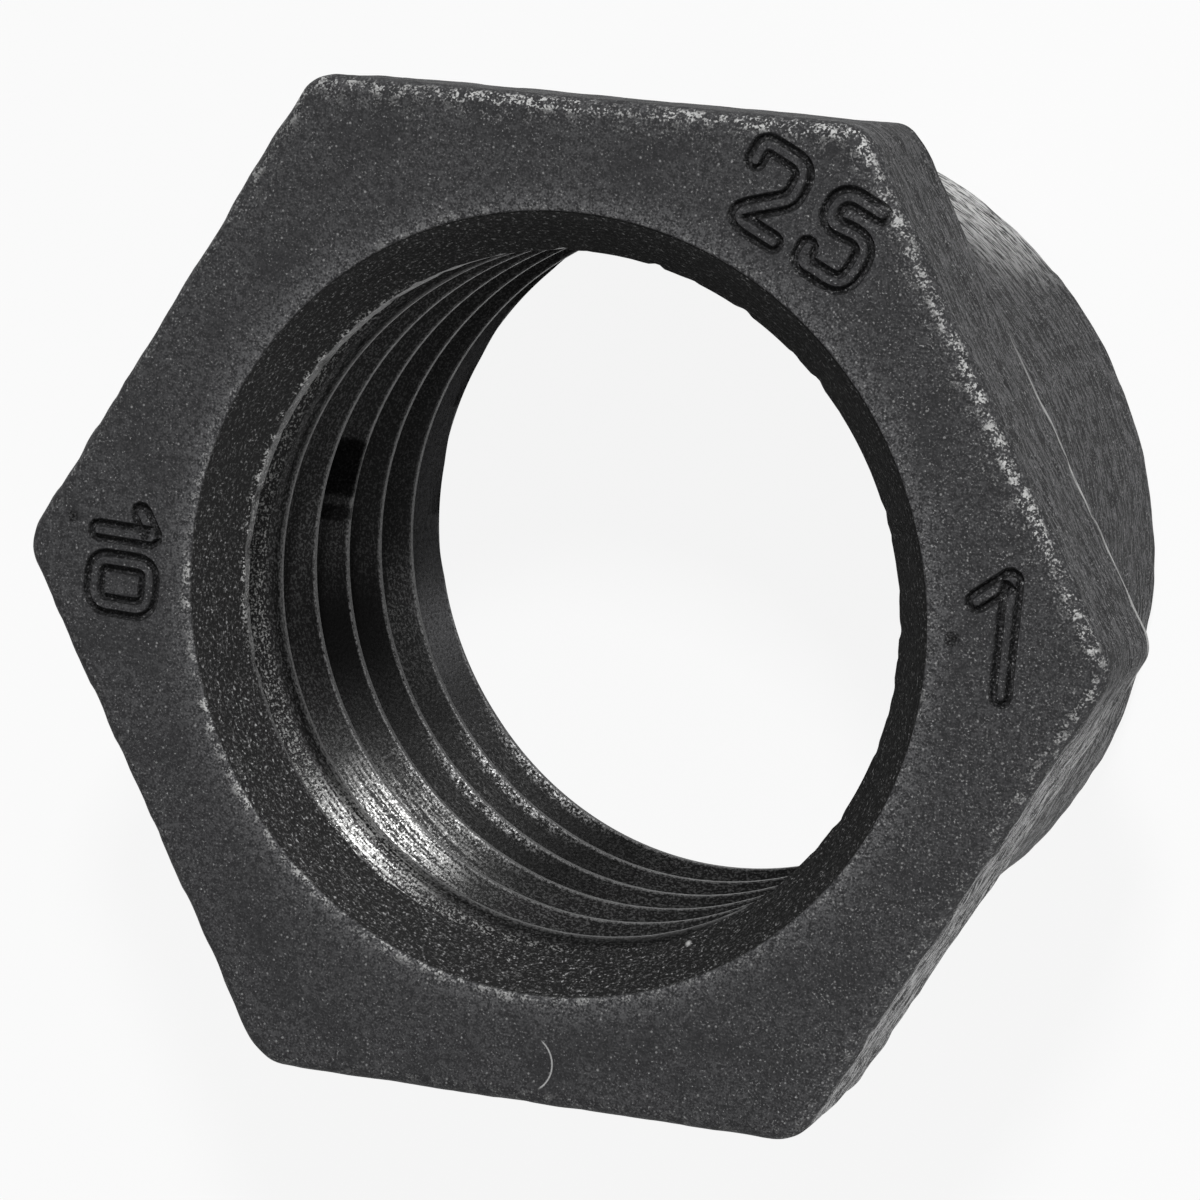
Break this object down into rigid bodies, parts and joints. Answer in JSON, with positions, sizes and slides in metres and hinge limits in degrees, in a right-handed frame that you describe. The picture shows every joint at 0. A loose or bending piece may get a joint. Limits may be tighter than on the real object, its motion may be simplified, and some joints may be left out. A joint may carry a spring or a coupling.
{
  "type": "reducer coupling",
  "caption": "Short hexagon-headed coupling with a threaded through bore and a plain tapered barrel behind the hexagon.",
  "frame": {"origin": "centre of the plain end that the coupling stands on", "axes": "+Z along the bore, from the plain end to the hexagon's face; +X through one of the hexagon's corners"},
  "size_m": [0.0514, 0.045, 0.0265],
  "materials": {
    "black_iron": "dark oxide over forged iron, with fine grit and edges worn to grey"
  },
  "bodies": {
    "root": {"coupling": "black_iron"}
  },
  "joints": []
}
